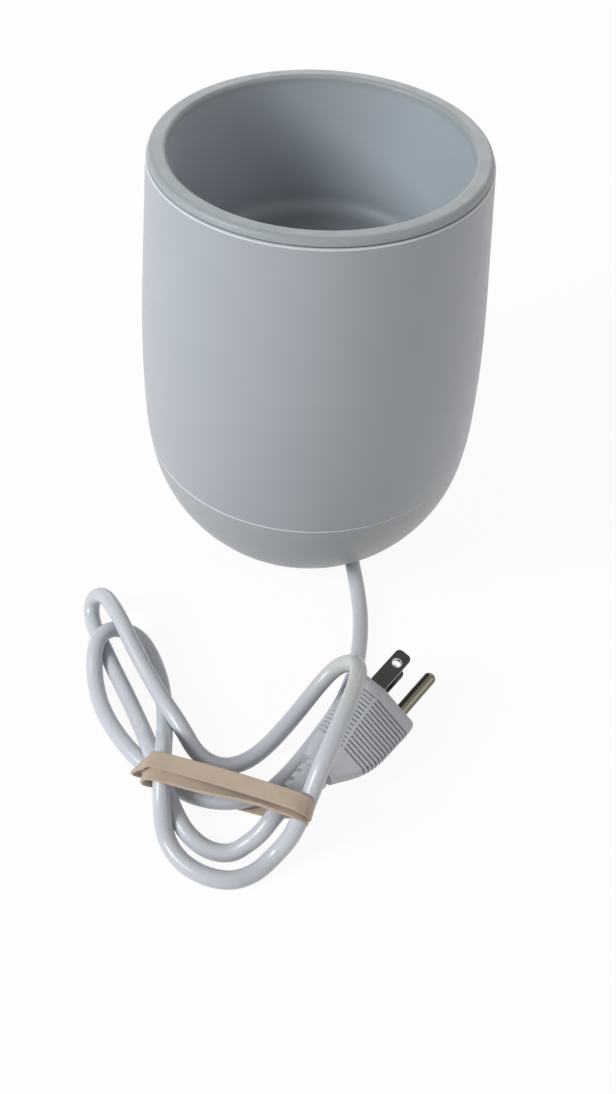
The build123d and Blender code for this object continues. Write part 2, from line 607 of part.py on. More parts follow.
def terminal_block():
    """Three-way block: moulded towers with cross holes for the wires and screws from above."""
    body = block((BLOCK_OUT, BLOCK_Y - 9, BLOCK_Z), (BLOCK_IN, BLOCK_Y + 9, BLOCK_Z + 7.5))
    for y in BLOCK_WAYS:
        body += block((BLOCK_OUT + 3, y - 2.0, BLOCK_Z + 7), (BLOCK_IN - 3, y + 2.0, BLOCK_Z + 12))
        for x in (BLOCK_X - 8, BLOCK_X + 8):
            body -= rod(1.5, (x, y, BLOCK_Z + 7), (x, y, BLOCK_Z + 13))
    body -= rod(3.4, (BLOCK_X, BLOCK_Y, BLOCK_Z + 3), (BLOCK_X, BLOCK_Y, BLOCK_Z + 13))
    return body - rod(1.7, (BLOCK_X, BLOCK_Y, BLOCK_Z - 1), (BLOCK_X, BLOCK_Y, BLOCK_Z + 4))


def terminal_screws():
    """Six clamp screws in the block, and the one that holds it down."""
    clamps = [rod(1.48, (x, y, BLOCK_Z + 7.2), (x, y, BLOCK_Z + 11.6))
              for y in BLOCK_WAYS for x in (BLOCK_X - 8, BLOCK_X + 8)]
    hold = rod(3.2, (BLOCK_X, BLOCK_Y, BLOCK_Z + 3), (BLOCK_X, BLOCK_Y, BLOCK_Z + 5))
    hold += rod(SCREW_R, (BLOCK_X, BLOCK_Y, 5), (BLOCK_X, BLOCK_Y, BLOCK_Z + 3.5))
    return group(clamps + [hold])


def cord_clamp():
    """Saddle bar across the lead."""
    bar = extrude(SlotCenterToCenter(2 * CLAMP_REACH, 7.0), 3.6)
    for side in (-1, 1):
        bar -= Pos(side * CLAMP_REACH, 0, -1) * extrude(Circle(SCREW_R + 0.2), 6)
    bar = Pos(*along_channel(CLAMP_AT, CLAMP_Z)) * Rot(0, 0, CHANNEL_ANGLE + 90) * bar
    return bar - rod(CORD_D / 2, along_channel(CLAMP_AT - 9, BUSH_Z), along_channel(CLAMP_AT + 9, BUSH_Z))


def clamp_screws():
    heads = CLAMP_Z + 3.6
    places = [across_channel(CLAMP_AT, side * CLAMP_REACH, 0) for side in (-1, 1)]
    return group([Pos(x, y, 0) * Rot(180, 0, 0) * screw(-heads - 2.2, 9) for x, y, _ in places])


def cord_end():
    """The lead's outer sheath inside the base."""
    return rod(CORD_D / 2, along_channel(-4.2, BUSH_Z), along_channel(SHEATH_END, BUSH_Z))


def cord_bush():
    """Moulded strain relief: inner flange, neck in the wall, and a tapered sleeve in the channel."""
    flange = rod(6.0, along_channel(-4.2, BUSH_Z), along_channel(-2.2, BUSH_Z))
    neck = rod(BUSH_NECK_R, along_channel(-2.3, BUSH_Z), along_channel(0.1, BUSH_Z))
    at_wall = Plane(origin=along_channel(0, BUSH_Z), z_dir=along_channel(1, 0) - along_channel(0, 0))
    sleeve = loft([at_wall * Circle(4.9), at_wall.offset(BUSH_END) * Circle(BUSH_TIP_R)])
    return flange + neck + sleeve


# ---- free lead, banded bundle and plug ----

LEAD_ROUTE = [
    along_channel(BUSH_END, BUSH_Z), along_channel(BUSH_END + 7, BUSH_Z),
    (21.8, -45.2, 7.3), (23.6, -54.2, 4.1), (24.5, -64.5, 3.2), (24.2, -76.0, 3.2), (23.0, -87.0, 3.2),
    (20.4, -98.0, 3.2), (16.4, -108.4, 3.2), (10.9, -118.1, 3.2), (5.6, -126.9, 3.2), (0.8, -134.6, 3.4),
    (-3.8, -141.2, 4.2),
]
LOOP_ROUTE = [
    (-0.2, -167.0, 10.8), (2.6, -164.2, 17.2), (6.0, -158.4, 24.0), (8.8, -151.6, 29.8),
    (12.2, -143.8, 33.2), (15.8, -134.2, 34.4), (19.4, -123.6, 34.4), (21.7, -114.0, 32.8),
    (21.5, -106.0, 28.8), (18.0, -101.0, 22.4), (13.0, -100.5, 16.4), (7.6, -105.0, 11.2),
    (2.2, -111.5, 7.4), (-4.0, -119.5, 5.0), (-11.0, -128.0, 3.3), (-18.0, -134.0, 3.2),
]


def unit(vector):
    return vector / vector.length


def plug_frame():
    """Plane on the plug's face: X towards the earth pin, Z the way the blades point."""
    yaw, pitch, roll = (math.radians(angle) for angle in (PLUG_YAW, PLUG_PITCH, PLUG_ROLL))
    axis = Vector(math.cos(yaw) * math.cos(pitch), math.sin(yaw) * math.cos(pitch), math.sin(pitch))
    side = unit(axis.cross(Vector(0, 0, 1)))
    top = side.cross(axis)
    return Plane(origin=BLADE_LINE, x_dir=side * math.cos(roll) - top * math.sin(roll), z_dir=axis)


PLUG = plug_frame()


def grip_outline(section, inset):
    """Face of the grip's section: flat on the blade side, narrowing from the ridges to the pin."""
    _, near, ridge, high, far, low = section
    corners = [(near, -high), (ridge, -high), (far, -low), (far, low), (ridge, high), (near, high)]
    outline = make_face(Polyline(*corners, close=True))
    radii = [GRIP_CORNERS[index] for index in (0, 1, 2, 2, 1, 0)]
    for (x, y), radius in zip(corners, radii):
        outline = fillet(outline.vertices().sort_by_distance((x, y, 0))[0], radius)
    return offset(outline, -inset) if inset else outline


def grip_section(z):
    """Section of the grip at any place along it."""
    for front, rear in zip(GRIP_SECTIONS, GRIP_SECTIONS[1:]):
        if rear[0] <= z <= front[0]:
            share = (z - front[0]) / (rear[0] - front[0])
            return [a + (b - a) * share for a, b in zip(front, rear)]


def grip_groove(index):
    """Ring-shaped cut round the grip, left out along both ridges."""
    z = GROOVE_START - index * GROOVE_PITCH
    section = grip_section(z)
    ridge, high = section[2], section[3]
    floor = extrude(grip_outline(section, GROOVE_DEPTH), GROOVE_W)
    cut = Box(60, 40, GROOVE_W, align=(Align.CENTER, Align.CENTER, Align.MIN)) - floor
    lands = [Pos(ridge, side * high, 0) * Box(2 * RIDGE_LAND, 6, 3 * GROOVE_W) for side in (-1, 1)]
    return Pos(0, 0, z) * (cut - lands)


def plug_body():
    """Grooved grip, stepped to a collar at the rear, with pockets for the blades and the pin."""
    form = loft([Pos(0, 0, section[0]) * grip_outline(section, 0) for section in GRIP_SECTIONS])
    form = fillet(form.faces().sort_by(Axis.Z)[-1].outer_wire().edges(), GRIP_FRONT)
    form -= [grip_groove(index) for index in range(GROOVE_COUNT)]
    form += Pos(COLLAR_AT, 0, BOOT_START) * extrude(RectangleRounded(9.6, 9.0, 3.2), 4)
    form -= blade_forms() + [pin_form()]
    return PLUG.location * form


def blade_forms():
    """Two flat blades with a round hole and rounded tip."""
    blades = []
    for side in (-1, 1):
        y = side * BLADE_GAP / 2
        blade = block((-BLADE_W / 2, y - BLADE_T / 2, -ROOT), (BLADE_W / 2, y + BLADE_T / 2, BLADE_OUT))
        blade = fillet(blade.edges().filter_by(Axis.Y).sort_by(Axis.Z)[-2:], 1.9)
        blade -= rod(1.6, (0, y - 2, BLADE_HOLE_AT), (0, y + 2, BLADE_HOLE_AT))
        blades.append(blade)
    return blades


def pin_form():
    """Round earth pin with a thinner shank inside the moulding."""
    pin = rod(PIN_R, (PIN_OFFSET, 0, 0), (PIN_OFFSET, 0, PIN_OUT))
    pin = fillet(pin.edges().sort_by(Axis.Z)[-1], PIN_TIP)
    return pin + rod(SHANK_R, (PIN_OFFSET, 0, -ROOT), (PIN_OFFSET, 0, 0))


def plug_blades():
    return group([PLUG.location * blade for blade in blade_forms()])


def ground_pin():
    return PLUG.location * pin_form()


def boot_middle(z):
    """Middle of the boot at a place along it, in the plug's frame."""
    share = (BOOT_START - z) / (BOOT_START - BOOT_END)
    return Vector(COLLAR_AT, -BOOT_RISE * share, z)


def boot_form(grow, end):
    """Cone that leans up towards its end."""
    ends = ((BOOT_START, BOOT_R), (end, BOOT_END_R))
    return loft([Pos(*boot_middle(z)) * Circle(radius + grow) for z, radius in ends])


def plug_boot():
    """Tapered cable boot with notches on both sides."""
    boot = boot_form(0, BOOT_END)
    for index in range(BOOT_NOTCHES):
        z = BOOT_START - BOOT_NOTCH_PITCH * (index + 0.8)
        for side in (-1, 1):
            boot -= Pos(*boot_middle(z)) * Pos(side * 8.4, 0, 0) * Box(10, 14, BOOT_NOTCH_W)
    return PLUG.location * boot - tube(TAIL_ROUTE, CORD_D / 2)


def plug_point(x, y, z):
    """Point given in the plug's frame."""
    return PLUG.from_local_coords(Vector(x, y, z))


BOOT_TIP = boot_middle(BOOT_END)
BOOT_OUT = boot_middle(BOOT_END - 5.0)
TAIL_ROUTE = [plug_point(*BOOT_TIP), plug_point(*BOOT_OUT), (-9.2, -164.4, 10.8), (-13.5, -166.4, 6.4)]


def cord_tube(name, route):
    path, radii = round_path(route)
    solid = tube(route, CORD_D / 2)
    expected = math.pi * CORD_D ** 2 / 4 * path.length
    print(name, "length", round(path.length, 1), "radii", [round(radius, 1) for radius in radii],
          "volume / expected", round(solid.volume / expected, 4),
          "lowest", round(solid.bounding_box().min.Z, 2))
    return solid


def hull_slab(circles, low, high, soft):
    """Prism over the hull of circles given as (x, y, radius), its top edge rounded."""
    edges = []
    for x, y, radius in circles:
        edges += (Pos(x, y, 0) * Circle(radius)).edges()
    slab = Pos(0, 0, low) * extrude(make_hull(edges), high - low)
    return fillet(slab.edges().group_by(Axis.Z)[-1], soft) if soft else slab


def band_turn(middle, angle, grow, width):
    """One turn: the outline that it is stretched round, as a solid across the bundle."""
    along = Vector(math.cos(math.radians(angle)), math.sin(math.radians(angle)), 0)
    plane = Plane(origin=middle, x_dir=along, z_dir=along.cross(Vector(0, 0, 1)))
    edges = []
    for x, y, radius in BAND_ROLLS:
        edges += (Pos(x, y, 0) * Circle(radius + grow)).edges()
    return extrude(plane * make_hull(edges), width / 2, both=True)


def rubber_band():
    """Flat band wound twice round the bundle; its two turns meet at the plug's side."""
    band = [band_turn(middle, angle, BAND_T, BAND_W) for middle, angle in BAND_TURNS]
    room = [band_turn(middle, angle, 0, BAND_W + 1) for middle, angle in BAND_TURNS]
    return band[0] + band[1] - room


def cord_hank():
    """Outer shape of the banded turns: left lobe, knot under the band and lower bow."""
    left = [(-78.5, -63.5, 8.6), (-66.0, -92.0, 17.0), (-60.0, -118.0, 14.6), (-53.0, -133.0, 9.4)]
    lobe = hull_slab(left, HANK_BOTTOM, HANK_LOBE_H, 3.0)
    knot = hull_slab([(-47.5, -130.0, 6.0), (-45.5, -150.0, 5.0)], HANK_BOTTOM, HANK_KNOT_H, 2.5)
    bow = hull_slab([(-53.0, -133.0, 9.4), (-22.0, -156.5, 24.5)], HANK_BOTTOM, HANK_BOW_H, 3.0)
    hank = lobe + knot + bow
    for middle, angle in BAND_TURNS:
        hank -= band_turn(middle, angle, 100, BAND_W + 0.2) - band_turn(middle, angle, -0.02, BAND_W + 1)
    hank -= PLUG.location * boot_form(1.5, BOOT_END - 3)
    for route in (LEAD_ROUTE, LOOP_ROUTE, TAIL_ROUTE):
        hank -= tube(route, CORD_D / 2)
    return hank


def build():
    pieces = {
        "inner_pot": inner_pot, "heater_well": heater_well, "heater_disc": heater_disc,
        "pressure_plate": pressure_plate, "stud_nuts": stud_nuts, "stud_spacer": stud_spacer,
        "retaining_bridge": retaining_bridge, "bridge_screws": bridge_screws, "casing": casing,
        "base_cap": base_cap, "base_screws": base_screws, "rubber_feet": rubber_feet,
        "thermostat_body": thermostat_body, "thermostat_screws": thermostat_screws,
        "thermostat_shaft": thermostat_shaft, "dial_plate": dial_plate, "knob": knob,
        "indicator_lens": indicator_lens, "lens_nut": lens_nut, "neon_lamp": neon_lamp,
        "sensing_bulb": sensing_bulb, "bulb_clip": bulb_clip, "thermal_fuse": thermal_fuse,
        "fuse_clip": fuse_clip, "earth_tag": earth_tag, "live_wires": live_wires,
        "neutral_wires": neutral_wires, "earth_wire": earth_wire, "lamp_wires": lamp_wires,
        "terminal_block": terminal_block, "terminal_screws": terminal_screws,
        "cord_clamp": cord_clamp, "clamp_screws": clamp_screws,
        "cord_end": cord_end, "cord_bush": cord_bush, "plug_body": plug_body, "plug_blades": plug_blades,
        "ground_pin": ground_pin, "plug_boot": plug_boot, "rubber_band": rubber_band,
        "cord_hank": cord_hank,
    }
    for node, make in pieces.items():
        save(node, make())
    save("cord_lead", cord_tube("cord_lead", LEAD_ROUTE))
    save("cord_loop", cord_tube("cord_loop", LOOP_ROUTE))
    save("cord_tail", cord_tube("cord_tail", TAIL_ROUTE))


build()
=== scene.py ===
import math

import bmesh
import bpy
from mathutils import Matrix, Vector


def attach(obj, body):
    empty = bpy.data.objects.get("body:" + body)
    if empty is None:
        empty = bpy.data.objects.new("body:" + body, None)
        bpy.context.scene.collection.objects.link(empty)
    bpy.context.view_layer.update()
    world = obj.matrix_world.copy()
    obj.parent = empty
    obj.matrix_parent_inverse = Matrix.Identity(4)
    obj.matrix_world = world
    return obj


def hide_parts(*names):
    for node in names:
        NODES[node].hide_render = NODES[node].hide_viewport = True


# Wax warmer pot: finishes of every part, the mains lead with its rubber band, the dial's figures,
# and a plain white studio. Metres, in the frame of the CAD model: -Y is the lead's side, +Y the control's.

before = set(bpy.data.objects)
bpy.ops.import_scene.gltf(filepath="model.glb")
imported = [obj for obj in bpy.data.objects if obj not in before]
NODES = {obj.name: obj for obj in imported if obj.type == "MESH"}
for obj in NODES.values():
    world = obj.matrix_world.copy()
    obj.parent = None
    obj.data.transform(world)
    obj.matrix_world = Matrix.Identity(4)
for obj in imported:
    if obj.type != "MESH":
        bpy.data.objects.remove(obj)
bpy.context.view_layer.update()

MM = 0.001

# ---- camera ----
CAMERA_AT = (0.0, -0.3433, 0.3472)
CAMERA_DOWN = math.radians(47.397)
CAMERA_TURN = math.radians(-0.385)
CAMERA_ROLL = math.radians(2.927)
CAMERA_LENS = 36.2
CAMERA_SENSOR = 36.0
CAMERA_REACH = (0.01, 10)

# ---- mains lead and plug, as in the CAD model, in millimetres ----
CORD_D = 6.2
CHANNEL_START = Vector((15.0, -12.0, 0.0))
CHANNEL_ANGLE = math.radians(-79.0)
BUSH_Z = 10.4
BUSH_END = 18.0
PLUG_YAW = math.radians(52.4)
PLUG_PITCH = math.radians(5.0)
PLUG_ROLL = math.radians(11.3)
BLADE_LINE = Vector((28.35, -108.55, 14.6))
COLLAR_AT = 3.6
BOOT_START, BOOT_END = -39.5, -56.0
BOOT_RISE = 4.5
BAND_W = 6.2
BAND_T = 1.1
BAND_EDGE = 0.35            # rounding along the strip's edges

# ---- levels, painted highlights and the yellowed place on the body, the cord and the plug, in millimetres ----
LIP_Z = 167.0
SEAM_Z = 52.0
CUP_FLOOR_Z = 120.0
# painted highlight: a pale line along the casing's lip and the base's seam
EDGE_HIGHLIGHT_REACH = 0.26           # half the width of a pale edge
# painted highlight round the hole in the upper blade
BLADE_HOLE = Vector((0.0, -7.1, 12.0))      # on the upper blade, in the plug's frame
BLADE_HOLE_REACH = 2.0
YELLOWED = Vector((21.5, -112.0, 32.0))     # on the cord's loop over the plug
YELLOWED_REACH = 30.0

# ---- dial, in millimetres ----
DIAL_FACE_Y = 57.8
DIAL_Z = 84.0
FIGURES = 10
FIGURE_STEP = math.radians(30)
FIGURE_R = 18.2
FIGURE_SIZE = 3.2
MARK_START, MARK_END, HALF_MARK_END = 14.4, 15.9, 15.2
MARK_W = 0.3
INK_T = 0.04
POINTER_OUT = 9.1           # from the dial plate to the knob's face
POINTER_START, POINTER_END = 3.4, 9.6
POINTER_W, POINTER_T = 0.9, 0.3

# ---- studio, in metres ----
FLOOR_HALF = 3.0
FLOOR_SHARE = 0.93          # of the floor that reads as plain white; the rest keeps the shadow
SKY_COLOUR = (1.0, 0.995, 0.985, 1)
SKY_STRENGTH = 0.26
BODY_MIDDLE = (0, -0.03, 0.09)
CUP_MIDDLE = (0, 0.0, 0.12)


def plug_frame():
    """Matrix of the plug's face: X towards the earth pin, Z the way the blades point."""
    axis = Vector((math.cos(PLUG_YAW) * math.cos(PLUG_PITCH), math.sin(PLUG_YAW) * math.cos(PLUG_PITCH),
                   math.sin(PLUG_PITCH)))
    side = axis.cross(Vector((0, 0, 1))).normalized()
    top = side.cross(axis)
    across = side * math.cos(PLUG_ROLL) - top * math.sin(PLUG_ROLL)
    turn = Matrix((across, axis.cross(across), axis)).transposed()
    return Matrix.Translation(BLADE_LINE) @ turn.to_4x4()


PLUG = plug_frame()


# ------------------------------------------------------------------ materials

class Shader:
    """A material's node tree, with short ways to add what its surface needs."""

    def __init__(self, name):
        self.material = bpy.data.materials.new(name)
        self.material.use_nodes = True
        self.tree = self.material.node_tree
        self.surface = self.tree.nodes["Principled BSDF"]
        self.place = self.tree.nodes.new("ShaderNodeTexCoord").outputs["Object"]

    def add(self, kind, **values):
        node = self.tree.nodes.new(kind)
        for key, value in values.items():
            setattr(node, key, value)
        return node

    def link(self, source, target):
        self.tree.links.new(source, target)

    def set(self, **sockets):
        for key, value in sockets.items():
            self.surface.inputs[key.replace("_", " ")].default_value = value

    def stretched(self, scale):
        """Object coordinates scaled unevenly, for drawn or brushed surfaces."""
        mapping = self.add("ShaderNodeMapping")
        mapping.inputs["Scale"].default_value = scale
        self.link(self.place, mapping.inputs["Vector"])
        return mapping.outputs["Vector"]

    def noise(self, scale, detail=3.0, place=None):
        """Noise from 0 to 1; scale is in features per metre."""
        node = self.add("ShaderNodeTexNoise")
        node.inputs["Scale"].default_value = scale
        node.inputs["Detail"].default_value = detail
        self.link(place or self.place, node.inputs["Vector"])
        return node.outputs["Fac"]

    def ramp(self, value, low, high, out_low, out_high):
        """Maps low..high of value to out_low..out_high, clamped."""
        node = self.add("ShaderNodeMapRange")
        for key, number in (("From Min", low), ("From Max", high), ("To Min", out_low), ("To Max", out_high)):
            node.inputs[key].default_value = number
        self.link(value, node.inputs["Value"])
        return node.outputs["Result"]

    def colour(self, value, one, two):
        """Colour between one and two as value goes from 0 to 1."""
        node = self.add("ShaderNodeMix", data_type="RGBA")
        node.inputs["A"].default_value = (*one, 1)
        node.inputs["B"].default_value = (*two, 1)
        self.link(value, node.inputs["Factor"])
        self.link(node.outputs["Result"], self.surface.inputs["Base Color"])
        return node

    def over(self, under, mask, colour):
        """Lays a colour over another colour's output where the mask is 1."""
        node = self.add("ShaderNodeMix", data_type="RGBA")
        node.inputs["B"].default_value = (*colour, 1)
        self.link(mask, node.inputs["Factor"])
        self.link(under.outputs["Result"], node.inputs["A"])
        self.link(node.outputs["Result"], self.surface.inputs["Base Color"])
        return node

    def height(self):
        """Height over the table at rest, in metres."""
        split = self.add("ShaderNodeSeparateXYZ")
        self.link(self.place, split.inputs["Vector"])
        return split.outputs["Z"]

    def level(self, height, reach, soft=0.3):
        """1 near a height in metres, 0 beyond reach of it. soft is the share of reach that fades."""
        away = self.add("ShaderNodeMath", operation="SUBTRACT")
        self.link(self.height(), away.inputs[0])
        away.inputs[1].default_value = height
        size = self.add("ShaderNodeMath", operation="ABSOLUTE")
        self.link(away.outputs[0], size.inputs[0])
        return self.ramp(size.outputs[0], (1 - soft) * reach, reach, 1.0, 0.0)

    def around(self, point, reach, soft=0.1):
        """1 near a point in metres, 0 beyond reach of it. soft is the share of reach that fades."""
        away = self.add("ShaderNodeVectorMath", operation="DISTANCE")
        self.link(self.place, away.inputs[0])
        away.inputs[1].default_value = point
        return self.ramp(away.outputs["Value"], (1 - soft) * reach, reach, 1.0, 0.0)

    def roughness(self, value, low, high):
        self.link(self.ramp(value, 0.3, 0.7, low, high), self.surface.inputs["Roughness"])

    def bump(self, value, distance, strength=1.0):
        """Relief of the given height in metres, added to any that is there."""
        node = self.add("ShaderNodeBump")
        node.inputs["Distance"].default_value = distance
        node.inputs["Strength"].default_value = strength
        self.link(value, node.inputs["Height"])
        normal = self.surface.inputs["Normal"]
        if normal.links:
            self.link(normal.links[0].from_socket, node.inputs["Normal"])
        self.link(node.outputs["Normal"], normal)


def shade(colour, factor):
    return tuple(channel * factor for channel in colour)


def moulded_plastic(name, colour, rough=0.42, grain=0.000012, tint=0.035, shine=0.5, highlight_height=None):
    """Satin moulded plastic: faint mottling, fine spark-eroded grain and uneven gloss.

    The edge at the given height gets a painted highlight: a pale line along it."""
    shader = Shader(name)
    body = shader.colour(shader.noise(28, 2), shade(colour, 1 - tint), shade(colour, 1 + tint))
    if highlight_height is not None:
        shader.over(body, shader.level(MM * highlight_height, MM * EDGE_HIGHLIGHT_REACH), PAINTED_EDGE_HIGHLIGHT)
    shader.roughness(shader.noise(160, 4), rough - 0.05, rough + 0.06)
    shader.bump(shader.noise(2600, 3), grain)
    shader.bump(shader.noise(60, 1), grain * 2.5)
    shader.set(IOR=1.46, Specular_IOR_Level=shine)
    return shader.material


def coated_metal(name, colour):
    """Matt non-stick coating on pressed aluminium.

    Shade is painted on the cup's floor and a little on the corner round it, and the rim is a duller grey."""
    shader = Shader(name)
    body = shader.colour(shader.noise(45, 3), shade(colour, 0.965), shade(colour, 1.03))
    height = shader.height()
    corner_painted_shade = shader.ramp(height, MM * (CUP_FLOOR_Z + 2), MM * (CUP_FLOOR_Z + 11), 0.5, 0.0)
    floor_painted_shade = shader.ramp(height, MM * (CUP_FLOOR_Z + 0.4), MM * (CUP_FLOOR_Z + 2.6), 1.0, 0.0)
    rim_zone = shader.ramp(height, MM * (LIP_Z - 0.5), MM * (LIP_Z + 1.5), 0.0, 1.0)
    # painted shade: the floor and the corner above it are darker where the cup's walls shade them
    body = shader.over(body, corner_painted_shade, shade(colour, 0.72))
    body = shader.over(body, floor_painted_shade, shade(colour, 0.70))
    shader.over(body, rim_zone, RIM_GREY)
    shader.roughness(shader.noise(220, 4), 0.40, 0.52)
    shader.bump(shader.noise(3800, 2), 0.000014)
    shader.bump(shader.noise(90, 1), 0.00003)
    shader.set(IOR=1.42)
    return shader.material


def metal(name, colour, rough, drawn=(1, 1, 1), relief=0.000006, glint=None):
    """Bare metal with marks drawn out along one direction.

    A place given with its reach gets a painted highlight: bright metal there."""
    shader = Shader(name)
    place = shader.stretched(drawn)
    body = shader.colour(shader.noise(900, 4, place), shade(colour, 0.9), shade(colour, 1.06))
    if glint:
        shader.over(body, shader.around(*glint), BLADE_HOLE_GLINT)
    shader.roughness(shader.noise(700, 5, place), rough - 0.08, rough + 0.1)
    shader.bump(shader.noise(1500, 4, place), relief)
    shader.set(Metallic=1.0)
    return shader.material


def rubbery(name, colour, rough=0.6, grain=0.00002, tint=0.05):
    """Rubber or a silicone sleeve."""
    shader = Shader(name)
    shader.colour(shader.noise(240, 4), shade(colour, 1 - tint), shade(colour, 1 + tint))
    shader.roughness(shader.noise(500, 3), rough - 0.06, rough + 0.08)
    shader.bump(shader.noise(2200, 4), grain)
    shader.set(IOR=1.5)
    return shader.material


def cord_vinyl(name, colour):
    """Satin PVC sheath: soft sheen, slight waviness from the strands inside, specks and a yellowed place."""
    shader = Shader(name)
    specks = shader.ramp(shader.noise(620, 1), 0.79, 0.82, 0.0, 1.0)
    mottled = shader.colour(shader.noise(60, 3), shade(colour, 0.965), shade(colour, 1.03))
    spotted = shader.over(mottled, specks, shade(colour, 0.62))
    shader.over(spotted, shader.around(MM * YELLOWED, MM * YELLOWED_REACH, 0.7), YELLOWED_GREY)
    shader.roughness(shader.noise(140, 3), 0.22, 0.33)
    shader.bump(shader.noise(1900, 3), 0.00001)
    shader.bump(shader.noise(110, 1), 0.00006)
    shader.set(IOR=1.48)
    return shader.material


def band_rubber(name):
    """Natural rubber strip: matt, with a dusty bloom and fine cut marks."""
    shader = Shader(name)
    bloom = shader.noise(190, 4)
    shader.colour(bloom, (0.400, 0.297, 0.216), (0.500, 0.392, 0.304))
    shader.roughness(shader.noise(500, 3), 0.55, 0.72)
    shader.bump(shader.noise(1400, 4), 0.00003)
    shader.bump(shader.noise(260, 2), 0.00006)
    shader.set(IOR=1.5, Sheen_Weight=0.12)
    return shader.material


def clear_plastic(name, colour, rough=0.12):
    """Tinted lens or lamp glass."""
    shader = Shader(name)
    shader.colour(shader.noise(500, 2), shade(colour, 0.94), colour)
    shader.roughness(shader.noise(400, 2), rough, rough + 0.06)
    shader.set(IOR=1.49, Transmission_Weight=0.75)
    return shader.material


def mica_sheet(name):
    """Layered mica: golden brown with pale flakes."""
    shader = Shader(name)
    flakes = shader.noise(320, 5)
    shader.colour(flakes, (0.30, 0.20, 0.09), (0.62, 0.50, 0.30))
    shader.roughness(shader.noise(150, 3), 0.3, 0.5)
    shader.bump(flakes, 0.00008)
    return shader.material


CASING_GREY = (0.375, 0.390, 0.415)
BASE_GREY = (0.368, 0.379, 0.388)
COATING_GREY = (0.362, 0.396, 0.426)
RIM_GREY = (0.318, 0.343, 0.352)
CORD_GREY = (0.540, 0.553, 0.590)
PLUG_GREY = (0.475, 0.483, 0.505)
YELLOWED_GREY = (0.560, 0.570, 0.525)
INK = (0.06, 0.06, 0.07)
# pale line painted on the casing's lip and the base's seam as a highlight
PAINTED_EDGE_HIGHLIGHT = (0.64, 0.66, 0.68)
# bright nickel painted round the blade's hole as a highlight
BLADE_HOLE_GLINT = (0.55, 0.545, 0.52)

MATERIALS = {
    "casing": moulded_plastic("casing_plastic", CASING_GREY, 0.38, shine=0.3, highlight_height=LIP_Z - 0.2),
    "base": moulded_plastic("base_plastic", BASE_GREY, 0.40, shine=0.3, highlight_height=SEAM_Z - 0.15),
    "coating": coated_metal("pot_coating", COATING_GREY),
    "aluminium": metal("pressed_aluminium", (0.72, 0.72, 0.73), 0.42, (1, 1, 8)),
    "mica": mica_sheet("mica"),
    "zinc": metal("zinc_plate", (0.62, 0.62, 0.60), 0.36),
    "steel": metal("screw_steel", (0.56, 0.56, 0.57), 0.30, (1, 1, 5)),
    "brass": metal("turned_brass", (0.80, 0.62, 0.30), 0.28, (1, 12, 1)),
    "copper": metal("drawn_copper", (0.80, 0.45, 0.30), 0.30, (0.2, 3, 3)),
    "nickel_blade": metal("blade_nickel", (0.054, 0.053, 0.050), 0.24, (4, 4, 1),
                          glint=(MM * (PLUG @ BLADE_HOLE), MM * BLADE_HOLE_REACH)),
    "nickel_pin": metal("pin_nickel", (0.145, 0.134, 0.104), 0.14, (4, 4, 1)),
    "foot": rubbery("foot_rubber", (0.22, 0.225, 0.235), 0.65),
    "black": moulded_plastic("thermoset", (0.035, 0.035, 0.038), 0.38),
    "nylon": moulded_plastic("nylon", (0.66, 0.65, 0.60), 0.40),
    "knob": moulded_plastic("knob_plastic", (0.43, 0.445, 0.47), 0.34),
    "dial": moulded_plastic("dial_face", (0.50, 0.51, 0.53), 0.45),
    "ink": moulded_plastic("dial_ink", INK, 0.5),
    "pointer": moulded_plastic("pointer_white", (0.78, 0.78, 0.77), 0.5),
    "lens": clear_plastic("lens_amber", (0.85, 0.20, 0.05)),
    "glass": clear_plastic("lamp_glass", (0.95, 0.92, 0.88), 0.04),
    "live": rubbery("sleeve_black", (0.03, 0.03, 0.032)),
    "neutral": rubbery("sleeve_white", (0.72, 0.72, 0.70)),
    "earth": rubbery("sleeve_green", (0.05, 0.25, 0.07)),
    "cord": cord_vinyl("cord_vinyl", CORD_GREY),
    "plug": moulded_plastic("plug_vinyl", PLUG_GREY, 0.40, 0.00002),
    "band": band_rubber("band_rubber"),
}

NODE_FINISH = {
    "casing": "casing", "base_cap": "base", "inner_pot": "coating", "heater_well": "aluminium",
    "heater_disc": "mica", "pressure_plate": "zinc", "stud_nuts": "steel", "stud_spacer": "zinc",
    "retaining_bridge": "zinc", "bridge_screws": "steel", "base_screws": "steel", "rubber_feet": "foot",
    "thermostat_body": "black", "thermostat_screws": "steel", "thermostat_shaft": "brass",
    "dial_plate": "dial", "knob": "knob", "indicator_lens": "lens", "lens_nut": "zinc",
    "neon_lamp": "glass", "sensing_bulb": "copper", "bulb_clip": "zinc", "thermal_fuse": "steel",
    "fuse_clip": "zinc", "earth_tag": "brass", "live_wires": "live", "neutral_wires": "neutral",
    "earth_wire": "earth", "lamp_wires": "neutral", "terminal_block": "nylon", "terminal_screws": "brass",
    "cord_clamp": "nylon", "clamp_screws": "steel", "cord_end": "cord", "cord_bush": "plug",
    "plug_body": "plug", "plug_boot": "plug", "plug_blades": "nickel_blade", "ground_pin": "nickel_pin",
    "rubber_band": "band", "cord_hank": "cord", "cord_lead": "cord", "cord_loop": "cord",
    "cord_tail": "cord",
}


def dress(piece, finish):
    """Gives a piece its finish in every slot."""
    piece.data.materials.clear()
    piece.data.materials.append(MATERIALS[finish])


def dress_nodes():
    for node, finish in NODE_FINISH.items():
        dress(NODES[node], finish)


# ------------------------------------------------------------------ mains lead

def along_channel(distance, height):
    """Point on the middle plane of the channel under the base."""
    return CHANNEL_START + Vector(
        (distance * math.cos(CHANNEL_ANGLE), distance * math.sin(CHANNEL_ANGLE), height))


def boot_middle(z):
    """Middle of the plug's boot at a place along the plug's axis."""
    share = (BOOT_START - z) / (BOOT_START - BOOT_END)
    return PLUG @ Vector((COLLAR_AT, -BOOT_RISE * share, z))


